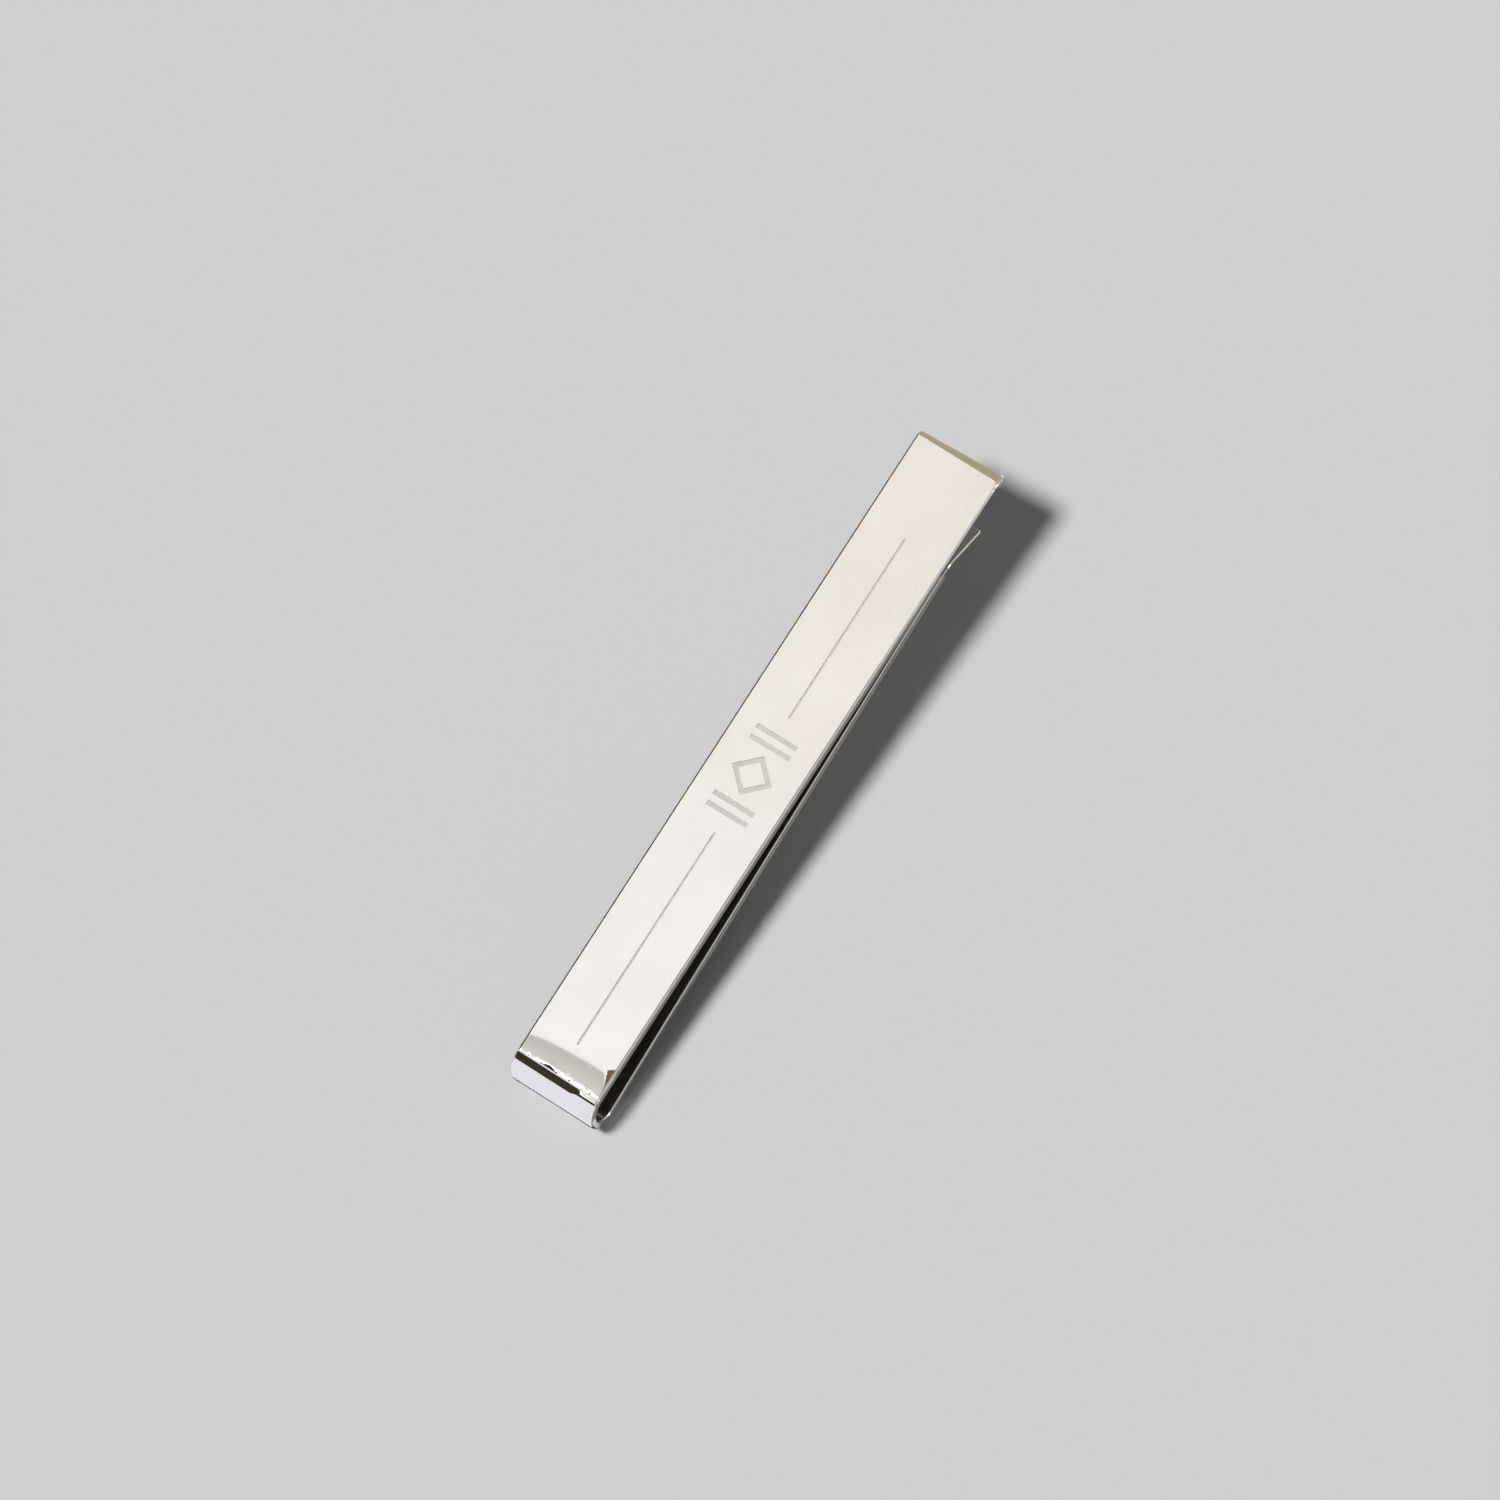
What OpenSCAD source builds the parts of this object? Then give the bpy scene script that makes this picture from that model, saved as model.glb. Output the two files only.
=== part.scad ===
// Slide-on tie clip: one strip of polished metal, folded into a front bar, a spring bend and a
// back leaf that presses cloth against the bar.
//
// +X runs from the bend to the free end, +Z points out of the engraved face. The origin is on the
// plane under the bend, in the middle of the clip's length and width.
// In every sum, a place is [x, z] in the side view, and an angle is counted from +X towards +Z.

/* [Strip] */
// Length over all, from the outside of the bend to the free end of the bar
overall_length = 55; // [45:0.5:70]
// Width of the strip
strip_width = 7.4; // [5:0.2:9]
// Thickness of the strip
strip_thickness = 0.7; // [0.45:0.05:0.8]
// Height over all, from under the bend to the engraved face
overall_height = 3.9; // [3.2:0.1:5]
// Rounding along the strip's long edges
edge_radius = 0.16; // [0.06:0.01:0.2]

/* [Free end of the bar] */
// How far the end bevel reaches back along the face
bevel_length = 0.5; // [0.2:0.05:0.9]
// How deep the end bevel cuts into the thickness
bevel_depth = 0.24; // [0.1:0.02:0.36]
// Rounding of the strip's end corners, seen from the front
corner_radius = 0.16; // [0.1:0.02:0.6]

/* [Back leaf] */
// Distance from the grip ridge to the bar's free end
ridge_setback = 7.7; // [6:0.1:12]
// Radius of the leaf's slight bow, which a load on its tip has given it
bow_radius = 1400; // [1000:50:3000]
// Radius of the grip ridge, to the middle of the strip
ridge_radius = 1.1; // [0.8:0.05:2]
// Gap left between the grip ridge and the bar
contact_gap = 0.03; // [0.02:0.01:0.3]
// Angle between the lead-in lip and the bar, in degrees
lip_angle = 24; // [15:1:30]
// Straight length of the lead-in lip
lip_length = 3.4; // [1.5:0.1:4]

/* [Engraving] */
// Depth of every engraved mark
engraving_depth = 0.05; // [0.02:0.01:0.12]
// Width of the two engraved lines
line_width = 0.17; // [0.1:0.01:0.4]
// Distance from the outside of the bend to the near line
near_line_margin = 4.5; // [3:0.5:8]
// Distance from the far line to the bar's free end
far_line_margin = 7.5; // [2:0.5:10]
// How far the ornament's middle lies from the clip's middle
ornament_shift = -0.15; // [-3:0.05:3]
// Length of the engraved ornament, along the bar
ornament_length = 6.9; // [6:0.1:8]
// Height of the engraved ornament, across the bar
ornament_height = 3.6; // [2:0.1:4]
// Width of the ornament's strokes
stroke_width = 0.38; // [0.2:0.02:0.44]
// Gap between the ornament and each line
ornament_gap = 1.4; // [0.8:0.1:3]

/* [Hidden] */
$fn = 96;

polished_metal = [0.86, 0.85, 0.83];

// How far a cutting shape runs past what it cuts
overrun = 0.5;
// Facets that a gently bowed stretch shows in a preview
bow_facets = 24;
// Gap between the two upright strokes on each side of the ornament
upright_gap = 0.5;
// Gap between the uprights and the lozenge
lozenge_gap = 0.55;

bend_end_x = -overall_length / 2;
free_end_x = overall_length / 2;
face_z = overall_height;

// The bend is a half turn and a little more, round a point halfway up
mid_radius = (overall_height - strip_thickness) / 2;
bend_centre = [bend_end_x + overall_height / 2, overall_height / 2];

// The top of the ridge comes up to the bar's underside, less the contact gap
ridge_x = free_end_x - ridge_setback;
ridge_top_z = face_z - strip_thickness - contact_gap;
ridge_centre = [ridge_x, ridge_top_z - strip_thickness / 2 - ridge_radius];

// The bow is one arc that meets the bend from outside and the ridge from inside, so the three
// centres make a triangle with known sides
centres = ridge_centre - bend_centre;
centres_apart = norm(centres);
bend_side = bow_radius + mid_radius;
ridge_side = bow_radius - ridge_radius;
corner_at_bend = acos(
    (centres_apart ^ 2 + bend_side ^ 2 - ridge_side ^ 2) / (2 * centres_apart * bend_side));
to_bow_centre = atan2(centres[1], centres[0]) - corner_at_bend;
bow_centre = bend_centre + bend_side * direction(to_bow_centre);
leaf_start_angle = to_bow_centre + 180;
leaf_end_angle = angle_of(ridge_centre - bow_centre);
bend_end_angle = to_bow_centre + 360;
ridge_end_angle = 90 - lip_angle;
lip_start = ridge_centre + ridge_radius * direction(ridge_end_angle);

function direction(angle) = [cos(angle), sin(angle)];
function angle_of(place) = atan2(place[1], place[0]);

// The strip's cross-section: thickness along x and width along y, with rounded corners
module strip_section() {
    rounded_rectangle(strip_thickness, strip_width, edge_radius);
}

module rounded_rectangle(size_x, size_y, radius) {
    square([size_x - 2 * radius, size_y], center = true);
    square([size_x, size_y - 2 * radius], center = true);
    for (side_x = [-1, 1], side_y = [-1, 1])
        translate([side_x * (size_x / 2 - radius), side_y * (size_y / 2 - radius)])
            circle(r = radius);
}

// A straight stretch of strip, its mid-line starting at a place and running at an angle
module straight_strip(start, angle, length) {
    place_along(start, angle)
        rotate([0, 90, 0])
            linear_extrude(height = length)
                strip_section();
}

// Puts a shape that is drawn along +X at a place in the side view, turned to an angle
module place_along(start, angle) {
    translate([start[0], 0, start[1]])
        rotate([0, -angle, 0])
            children();
}

// A bent stretch of strip, its mid-line an arc round a centre between two angles
module bent_strip(centre, radius, from_angle, to_angle) {
    translate([centre[0], 0, centre[1]])
        rotate([90, 0, 0])
            rotate([0, 0, from_angle])
                rotate_extrude(angle = to_angle - from_angle)
                    translate([radius, 0])
                        strip_section();
}

// A straight stretch of strip whose far end is the strip's own end, with rounded corners
module strip_end(start, angle, length) {
    intersection() {
        straight_strip(start, angle, length);
        place_along(start, angle)
            linear_extrude(height = 2 * strip_thickness, center = true)
                rounded_rectangle(2 * length, strip_width, corner_radius);
    }
}

// The sloping cut across the free end of the face
module end_bevel() {
    slope = atan(bevel_depth / bevel_length);
    translate([free_end_x - bevel_length, 0, face_z])
        rotate([0, slope, 0])
            translate([-overrun, -strip_width / 2 - overrun, 0])
                cube([bevel_length + 2 * overrun, strip_width + 2 * overrun, overrun + bevel_depth]);
}

// A thin stroke along the bar, with rounded ends
module line_mark(from_x, to_x) {
    length = to_x - from_x;
    translate([from_x + length / 2, 0]) {
        square([length - line_width, line_width], center = true);
        for (side = [-1, 1])
            translate([side * (length - line_width) / 2, 0])
                circle(d = line_width);
    }
}

// A straight stroke across the bar
module upright_mark() {
    square([stroke_width, ornament_height], center = true);
}

// A lozenge outline with strokes of even width
module lozenge_mark(length, height) {
    side_distance = length * height / 2 / norm([length, height]);
    difference() {
        lozenge(length, height);
        scale((side_distance - stroke_width) / side_distance)
            lozenge(length, height);
    }
}

module lozenge(length, height) {
    polygon([[length / 2, 0], [0, height / 2], [-length / 2, 0], [0, -height / 2]]);
}

// A lozenge between two pairs of upright strokes
module ornament() {
    uprights_length = 2 * stroke_width + upright_gap;
    lozenge_mark(ornament_length - 2 * (uprights_length + lozenge_gap), ornament_height);
    for (side = [-1, 1], place = [0, 1])
        translate([side * (ornament_length / 2 - stroke_width / 2
                           - place * (stroke_width + upright_gap)), 0])
            upright_mark();
}

// The outlines of every mark on the face: a line, the ornament and a line
module marks() {
    clear_of_ornament = ornament_length / 2 + ornament_gap;
    line_mark(bend_end_x + near_line_margin, ornament_shift - clear_of_ornament);
    translate([ornament_shift, 0])
        ornament();
    line_mark(ornament_shift + clear_of_ornament, free_end_x - far_line_margin);
}

// The marks as a cut into the face
module engraving() {
    translate([0, 0, face_z - engraving_depth])
        linear_extrude(height = engraving_depth + overrun)
            marks();
}

// The flat visible bar, from the bend to the bevelled free end
module front_bar() {
    bar_start = [bend_centre[0], face_z - strip_thickness / 2];
    bar_length = free_end_x - bar_start[0];
    color(polished_metal)
        difference() {
            strip_end(bar_start, 0, bar_length);
            end_bevel();
            engraving();
        }
}

// The fold that works as the spring
module spring_bend() {
    color(polished_metal)
        bent_strip(bend_centre, mid_radius, 90, bend_end_angle);
}

// The slightly bowed leaf behind the bar
module back_leaf() {
    color(polished_metal)
        bent_strip(bow_centre, bow_radius, leaf_end_angle, leaf_start_angle,
            $fn = bow_facets * 360 / (leaf_start_angle - leaf_end_angle));
}

// The rounded kink that presses the cloth against the bar
module grip_ridge() {
    color(polished_metal)
        bent_strip(ridge_centre, ridge_radius, ridge_end_angle, leaf_end_angle);
}

// The flared tip that lets the cloth slide in
module lead_in_lip() {
    color(polished_metal)
        strip_end(lip_start, -lip_angle, lip_length);
}

front_bar();
spring_bend();
back_leaf();
grip_ridge();
lead_in_lip();
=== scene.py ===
# %% [markdown]
# # A tie clip folded from one strip of polished metal
# The real clip is a single strip, about 55 mm long when folded: a flat engraved bar, a bend that is
# its spring, and a leaf behind that rises to a ridge and presses the cloth against the bar. The
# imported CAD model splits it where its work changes: bar, bend, leaf, ridge and lip. Polished metal
# shows nothing but its surroundings, so the looks rest on three things: a surface that runs on
# smoothly from piece to piece, wear at its real size, and cards round the clip for it to mirror.

# %% Load the fixed frame
import math

import bpy
import numpy as np
from mathutils import Matrix, Vector
from mathutils.geometry import delaunay_2d_cdt


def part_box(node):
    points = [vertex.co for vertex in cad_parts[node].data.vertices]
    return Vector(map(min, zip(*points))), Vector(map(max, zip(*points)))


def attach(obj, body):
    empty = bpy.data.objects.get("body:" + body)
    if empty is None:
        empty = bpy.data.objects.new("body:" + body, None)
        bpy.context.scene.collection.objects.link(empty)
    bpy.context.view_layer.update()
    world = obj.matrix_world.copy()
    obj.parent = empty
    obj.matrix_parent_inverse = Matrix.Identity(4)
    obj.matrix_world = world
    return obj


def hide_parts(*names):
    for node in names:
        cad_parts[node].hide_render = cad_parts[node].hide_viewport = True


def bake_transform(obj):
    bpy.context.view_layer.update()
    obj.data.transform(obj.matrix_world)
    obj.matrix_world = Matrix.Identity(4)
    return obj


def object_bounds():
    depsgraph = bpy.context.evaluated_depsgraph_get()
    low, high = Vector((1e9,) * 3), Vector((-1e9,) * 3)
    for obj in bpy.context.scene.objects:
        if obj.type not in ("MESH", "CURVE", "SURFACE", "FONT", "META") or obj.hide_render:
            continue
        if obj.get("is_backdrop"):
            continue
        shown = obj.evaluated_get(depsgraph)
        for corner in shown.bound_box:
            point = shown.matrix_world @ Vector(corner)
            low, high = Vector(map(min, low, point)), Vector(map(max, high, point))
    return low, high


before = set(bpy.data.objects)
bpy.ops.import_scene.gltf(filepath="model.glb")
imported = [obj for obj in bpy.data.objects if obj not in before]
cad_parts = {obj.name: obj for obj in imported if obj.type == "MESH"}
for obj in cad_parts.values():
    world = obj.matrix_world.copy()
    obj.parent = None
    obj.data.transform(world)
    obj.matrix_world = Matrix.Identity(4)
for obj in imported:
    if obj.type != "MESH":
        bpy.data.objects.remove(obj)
cad_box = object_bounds()
mm = 0.001


def tell(label, *lengths):
    """Prints lengths in millimetres."""
    print(label, *(round(float(length) / mm, 3) for length in lengths), "mm")


tell("the CAD model's box:", *cad_box[0], *cad_box[1])

# %% [markdown]
# ## Sizes
# What the frame can tell is read from it. The few sizes of the side view that a box doesn't show
# are repeated from the part's source. Every angle is counted from +X towards +Z, in the side view.

# %% Read the strip's sizes from the frame
bend_end_x, free_end_x = cad_box[0].x, cad_box[1].x
strip_width = cad_box[1].y - cad_box[0].y
face_z = cad_box[1].z
overall_height = face_z - cad_box[0].z
bar_lowest, bar_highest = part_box("front_bar")
strip_thickness = bar_highest.z - bar_lowest.z
edge_radius = 0.16 * mm
ridge_setback = 7.7 * mm
bow_radius = 1400 * mm
ridge_radius = 1.1 * mm
contact_gap = 0.03 * mm
lip_angle = math.radians(24)
lip_length = 3.4 * mm
quarter = math.pi / 2
tell("width and thickness of the strip:", strip_width, strip_thickness)

# %% Work out the centres of the bend, the ridge and the leaf's bow
outer_radius = overall_height / 2
mid_radius = outer_radius - strip_thickness / 2
bend_centre = np.array([bend_end_x + outer_radius, outer_radius])
ridge_top_z = face_z - strip_thickness - contact_gap
ridge_centre = np.array(
    [free_end_x - ridge_setback, ridge_top_z - strip_thickness / 2 - ridge_radius])


def direction(angle):
    """A step of length one at an angle in the side view."""
    return np.array([math.cos(angle), math.sin(angle)])


def angle_of(step):
    return math.atan2(step[1], step[0])


centres = ridge_centre - bend_centre
centres_apart = np.linalg.norm(centres)
bend_side = bow_radius + mid_radius
ridge_side = bow_radius - ridge_radius
corner_at_bend = math.acos(
    (centres_apart**2 + bend_side**2 - ridge_side**2) / (2 * centres_apart * bend_side))
to_bow_centre = angle_of(centres) - corner_at_bend
bow_centre = bend_centre + bend_side * direction(to_bow_centre)
leaf_start_angle = to_bow_centre + math.pi
leaf_end_angle = angle_of(ridge_centre - bow_centre)
bend_end_angle = to_bow_centre + 2 * math.pi
ridge_end_angle = quarter - lip_angle
lip_start = ridge_centre + ridge_radius * direction(ridge_end_angle)
print("the bend turns through", round(math.degrees(bend_end_angle - quarter), 1), "degrees")

# %% [markdown]
# ## The strip's mid-line
# The strip was cut and polished flat, then folded. So the model follows it from the bar's free
# end, round the bend and along the leaf to the lip's tip, and a place on it is a distance along
# that line. Each stretch is a straight or an arc, and gives the place and the angle at which the
# strip's outer side faces.

# %% Follow the mid-line
def straight(start, heading, length):
    """A straight stretch. The outer side is on the right of its heading."""
    def follow(distance):
        step = direction(heading)
        outward = np.full_like(distance, heading - quarter)
        return start[0] + step[0] * distance, start[1] + step[1] * distance, outward
    return length, follow


def arc(centre, radius, start_angle, end_angle):
    """A stretch round a centre, which the outer side faces away from where the angle grows."""
    sense = 1 if end_angle > start_angle else -1

    def follow(distance):
        angle = start_angle + sense * distance / radius
        outward = angle if sense > 0 else angle - math.pi
        return centre[0] + radius * np.cos(angle), centre[1] + radius * np.sin(angle), outward
    return abs(end_angle - start_angle) * radius, follow


bar_mid_z = face_z - strip_thickness / 2
stretches = {
    "front_bar": straight((free_end_x, bar_mid_z), math.pi, free_end_x - bend_centre[0]),
    "spring_bend": arc(bend_centre, mid_radius, quarter, bend_end_angle),
    "back_leaf": arc(bow_centre, bow_radius, leaf_start_angle, leaf_end_angle),
    "grip_ridge": arc(ridge_centre, ridge_radius, leaf_end_angle, ridge_end_angle),
    "lead_in_lip": straight(lip_start, -lip_angle, lip_length),
}
starts = {}
strip_length = 0.0
for name, (length, follow) in stretches.items():
    starts[name] = strip_length
    strip_length += length
    tell(name + " starts at", starts[name])
bend_start = starts["spring_bend"]


def mid_line(along):
    """Places x and z, and the outward angle, at distances along the strip."""
    found = [np.zeros_like(along) for _ in range(3)]
    for name, (_, follow) in stretches.items():
        here = along >= starts[name]
        for values, new in zip(found, follow(along - starts[name])):
            values[here] = np.broadcast_to(new, along.shape)[here]
    return found


# %% [markdown]
# ## The strip's section
# Across, the strip is a rectangle with rounded corners. A distance round it starts at the outer
# side's -Y edge, and the second half of the way is the first one turned by half a turn. Every
# point lies one edge radius out from a smaller rectangle, so one formula serves flats and corners.

# %% Describe the section
half_width = strip_width / 2
half_thickness = strip_thickness / 2
flat = half_width - edge_radius
upright = strip_thickness - 2 * edge_radius
corner = quarter * edge_radius
flat_ends = 2 * flat
side_starts = flat_ends + corner
side_ends = side_starts + upright
half_way_round = side_ends + corner


def section(around):
    """Places across and through the strip, and the outward normal there."""
    turned = around >= half_way_round
    along_half = np.where(turned, around - half_way_round, around)
    in_corners = (np.clip(along_half - flat_ends, 0, corner)
                  + np.clip(along_half - side_ends, 0, corner))
    normal_y = np.sin(in_corners / edge_radius)
    normal_w = np.cos(in_corners / edge_radius)
    across = np.minimum(along_half, flat_ends) - flat + edge_radius * normal_y
    down_side = np.clip(along_half - side_starts, 0, upright)
    through = upright / 2 - down_side + edge_radius * normal_w
    sign = np.where(turned, -1.0, 1.0)
    return sign * across, sign * through, sign * normal_y, sign * normal_w


tell("once round the strip:", 2 * half_way_round)

# %% [markdown]
# ## What grinding, folding and buffing did
# A polished strip isn't a perfect solid. The free end was cut a little askew and ground to a
# bevel, narrow at one corner and wide at the other. Folding pulled the bar's last millimetres down
# by a few degrees, more on one side than on the other, left small waves there and knocked a little
# facet into the near edge. Buffing wore down the long edges. A mirror shows all of it, down to a
# hundredth of a millimetre. These are shapes, so they belong in the mesh.

# %% Grind the bevel at the free end
bevel_length = 0.5 * mm
bevel_slope = 0.48
bevel_skew = 0.32
bevel_softness = 0.03 * mm
face_corner_radius = 0.36 * mm
end_skew = 0.2 * mm
end_skew_start = 0.68 * mm
end_skew_fade = 0.5 * mm


def smooth(share):
    """A soft step from 0 to 1."""
    share = np.clip(share, 0, 1)
    return share * share * (3 - 2 * share)


def above_zero(value, softness):
    """The value where it is above zero, and 0 where it is below, with a soft turn between."""
    return (value + np.sqrt(value**2 + softness**2)) / 2


def bevel_drop(along, across):
    """How far the face lies lower in the bevel, whose edge has a rounded corner at -Y."""
    past_crease = bevel_length * (1 - bevel_skew * across / half_width) - along
    past_flat = -across - flat
    lengthwise = past_crease + face_corner_radius
    sideways = past_flat + face_corner_radius
    past = np.hypot(np.maximum(lengthwise, 0), np.maximum(sideways, 0))
    past = past + np.minimum(np.maximum(lengthwise, sideways), 0)
    past = past - face_corner_radius - np.maximum(past_flat, 0)
    return bevel_slope * above_zero(past, bevel_softness)


def end_shift(along, across):
    """How much shorter the strip's free end is towards +Y, where the cut runs askew."""
    side = (1 + across / half_width) / 2
    return end_skew * side * (1 - smooth((along - end_skew_start) / end_skew_fade))


tell("the bevel's length at +Y and -Y:",
     bevel_length * (1 - bevel_skew), bevel_length * (1 + bevel_skew))


# %% Let the bar's end sag into the bend
sag_angle = math.radians(3.0)
sag_run = 2.6 * mm
lead_angle = math.radians(1.0)
lead_run = 0.45 * mm
sag_twist = 0.25 * mm
sag_curl = 0.3 * mm
sag_fall = 1.5 * mm
sag_release_start = 1.4 * mm
sag_release_length = 3.4 * mm


def summed_smooth(share):
    """The area under the soft step, which turns a change of slope into a height."""
    inside = np.clip(share, 0, 1)
    return inside**3 - inside**4 / 2 + np.maximum(share - 1, 0)


def summed_ramp(share):
    """The area under a straight ramp from 0 to 1."""
    inside = np.clip(share, 0, 1)
    return inside**2 / 2 + np.maximum(share - 1, 0)


def sag(along, across):
    """How far the strip lies lower round the start of the bend."""
    past_bend = along - bend_start
    share = across / half_width
    shift = -sag_twist * share - sag_curl * share**4
    sagged = sag_angle * sag_run * summed_smooth((past_bend + sag_run + shift) / sag_run)
    led_in = lead_angle * lead_run * summed_ramp((past_bend + lead_run) / lead_run)
    fallen = (sag_angle + lead_angle) * sag_fall * summed_smooth(past_bend / sag_fall)
    kept = 1 - smooth((past_bend - sag_release_start) / sag_release_length)
    return (sagged + led_in - fallen) * kept


tell("where the bend starts, the bar has sagged by", sag(bend_start, 0.0))

# %% Leave polishing waves and a flatter spot where the face turns into the bend
wave_height = 5.6e-3 * mm
wave_reach = 0.32 * mm
wave_centre = -0.12 * mm
wave_lengths = (0.37 * mm, 0.61 * mm, 0.94 * mm)
wave_shares = (0.2, 0.25, 0.3)
swell_place = 0.9 * mm
swell_half_width = 0.55 * mm
swell_share = 2.0
flat_spot_reach = 0.26 * mm
flat_spot_fade = 0.35 * mm
flat_spot_side_start = 0.38
flat_spot_side_length = 0.27


def waves(along, across):
    """Small waves that lie along the fold, and a stronger swell at one place across it."""
    past_bend = along - bend_start
    from_swell = across - swell_place
    strength = sum(share * np.cos(2 * math.pi * from_swell / length)
                   for length, share in zip(wave_lengths, wave_shares))
    strength = strength + swell_share * np.exp(-(from_swell / swell_half_width) ** 2)
    place = (past_bend - wave_centre) / wave_reach
    return wave_height * strength * place * np.exp(-place**2)


def flat_spot(along, across):
    """How far the face stands out over the bend where buffing left it flat longer, at -Y."""
    past_bend = np.maximum(along - bend_start, 0)
    gap = (past_bend * outer_radius / mid_radius) ** 2 / (2 * outer_radius)
    kept = 1 - smooth((past_bend - flat_spot_reach) / flat_spot_fade)
    side = smooth((-across / half_width - flat_spot_side_start) / flat_spot_side_length)
    return gap * kept * side


tell("the flatter spot stands out by", flat_spot(bend_start + flat_spot_reach, -half_width))

# %% Knock a small facet into the near edge where the bar starts to sag
facet_place = -2.15 * mm
facet_bar_side = 0.5 * mm
facet_bend_side = 1.9 * mm
facet_reach = 0.72 * mm
facet_taper = 1.2
facet_slope = 0.16
facet_softness = 0.045 * mm
facet_clearance = 3 * facet_softness
facet_fade_end = 1.5


def facet_drop(along, across):
    """How far the face lies lower in a small three-cornered facet on the -Y edge."""
    from_peak = along - bend_start - facet_place
    side = np.where(from_peak < 0, -from_peak / facet_bar_side, from_peak / facet_bend_side)
    border = facet_reach * np.clip(1 - side, 0, 1) ** facet_taper
    past = border - (half_width + across) - facet_clearance * (side > 1)
    kept = np.clip((facet_fade_end - side) / (facet_fade_end - 1), 0, 1)
    return facet_slope * above_zero(past, facet_softness) * kept


tell("the facet's depth at the edge:", facet_drop(bend_start + facet_place, -half_width))

# %% Round the edges by buffing
buffed_margin = 0.45 * mm
buffed_depths = (0.003 * mm, 0.014 * mm)
end_edge_radius = 0.04 * mm
end_corner_radius = 0.16 * mm


def buffed_down(across):
    """How far the flats fall away towards the long edges, more at +Y than at -Y."""
    share = np.clip((np.abs(across) - flat + buffed_margin) / buffed_margin, 0, 1)
    return np.where(across < 0, *buffed_depths) * share**2


def rounding(distance, radius):
    """How far a surface draws in at a distance from the strip's end, in a quarter circle."""
    left = np.clip(radius - distance, 0, radius)
    return radius - np.sqrt(radius**2 - left**2)


tell("wear at the edges, at -Y and +Y:", *buffed_down(np.array([-half_width, half_width])))

# %% [markdown]
# ## One surface for the whole strip
# All of this comes together in one function, from a distance along the strip and one round its
# section to a place. Normals come from tiny steps on the same function. The five pieces are slices
# of one surface and share its normals, so a reflection runs across their borders without a break.

# %% Place points on the strip and find their normals
normal_step = 1e-9
flat_normal = 0.5


def surface(along, around):
    """Places in the frame, and places along, across and through the strip."""
    along, around = np.broadcast_arrays(along, around)
    x, z, outward = mid_line(along)
    across, through, normal_y, normal_w = section(around)
    end_distance = np.minimum(along, strip_length - along)
    inset = rounding(end_distance, end_edge_radius)
    narrowed = 1 - rounding(end_distance, end_corner_radius) / half_width
    across = (across - inset * normal_y) * narrowed
    through = through - inset * normal_w
    outer_share = np.clip((through + upright / 2) / (half_thickness + upright / 2), 0, 1)
    side_out = np.where(np.abs(normal_w) > flat_normal, np.sign(normal_w), 0)
    buffed = buffed_down(across) * side_out
    lowered = outer_share * (
        bevel_drop(along, across) + waves(along, across) + facet_drop(along, across))
    raised = outer_share * flat_spot(along, across)
    height = through - buffed - lowered + raised - sag(along, across)
    x = x - end_shift(along, across)
    place = np.stack([x + height * np.cos(outward), across, z + height * np.sin(outward)], -1)
    return place, np.stack([along, across, through], -1)


def surface_normals(along, around):
    """Outward normals, from the steps along and round the strip."""
    before = np.clip(along - normal_step, 0, strip_length)
    after = np.clip(along + normal_step, 0, strip_length)
    step_along = surface(after, around)[0] - surface(before, around)[0]
    step_round = surface(along, around + normal_step)[0] - surface(along, around - normal_step)[0]
    normals = np.cross(step_round, step_along)
    return normals / np.linalg.norm(normals, axis=-1, keepdims=True)


# %% [markdown]
# ## Where the mesh needs points
# Points go where the surface turns: close together on the rounded edges, in the bend and at the
# strip's ends, and far apart on the long flats. Each ring of points goes once round the section.

# %% Choose the columns of points round the section
margin_columns = np.array([0, 0.05, 0.12, 0.22, 0.34, 0.5]) * mm
field_margin = 0.56 * mm
outer_field_points = 91
inner_field_points = 9
corner_points = 7
side_points = 4
field_half = flat - field_margin
field_columns = np.linspace(-field_half, field_half, outer_field_points)
plain_columns = np.linspace(-field_half, field_half, inner_field_points)
corner_columns = np.linspace(0, corner, corner_points)[1:-1]
side_columns = side_starts + np.linspace(0, upright, side_points)


def half_round(middle_columns):
    """Distances round half of the section: a flat with its margins, a corner, a side, a corner."""
    return np.concatenate([
        margin_columns, middle_columns + flat, flat_ends - margin_columns[::-1],
        flat_ends + corner_columns, side_columns, side_ends + corner_columns])


around_columns = np.concatenate([
    half_round(field_columns), half_way_round + half_round(plain_columns)])
first_field_column = len(margin_columns)
last_field_column = first_field_column + len(field_columns) - 1
print("points in a ring:", len(around_columns))

# %% Choose the rings along the strip
end_spacing = 0.05 * mm
end_clearance = 0.03 * mm
flat_spacing = 2 * mm
facet_spacing = 0.1 * mm
sag_spacing = 0.07 * mm
whole_spacings = {"spring_bend": 0.06 * mm, "back_leaf": 1.6 * mm, "grip_ridge": 0.035 * mm}
lip_spacing = 0.5 * mm
tip_spacing = 0.08 * mm
tip_reach = 0.4 * mm
distance_decimals = 8
field_start = 1.3 * mm
field_end = bend_start - 2.4 * mm
facet_start = bend_start - 3.2 * mm
tip_start = strip_length - tip_reach


def end_rings(reach, spacing):
    """Distances from a strip's end that follow its two roundings, then even steps."""
    turn = 1 - np.sin(np.linspace(quarter, 0, corner_points))
    even = np.arange(end_corner_radius + spacing / 2, reach, spacing)
    found = np.concatenate([end_edge_radius * turn, end_corner_radius * turn[2:], even])
    return np.unique(np.round(found, distance_decimals))


def even_rings(start, end, spacing):
    """Evenly spaced distances with both ends, none further apart than a spacing."""
    return np.linspace(start, end, max(2, math.ceil((end - start) / spacing) + 1))


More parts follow.
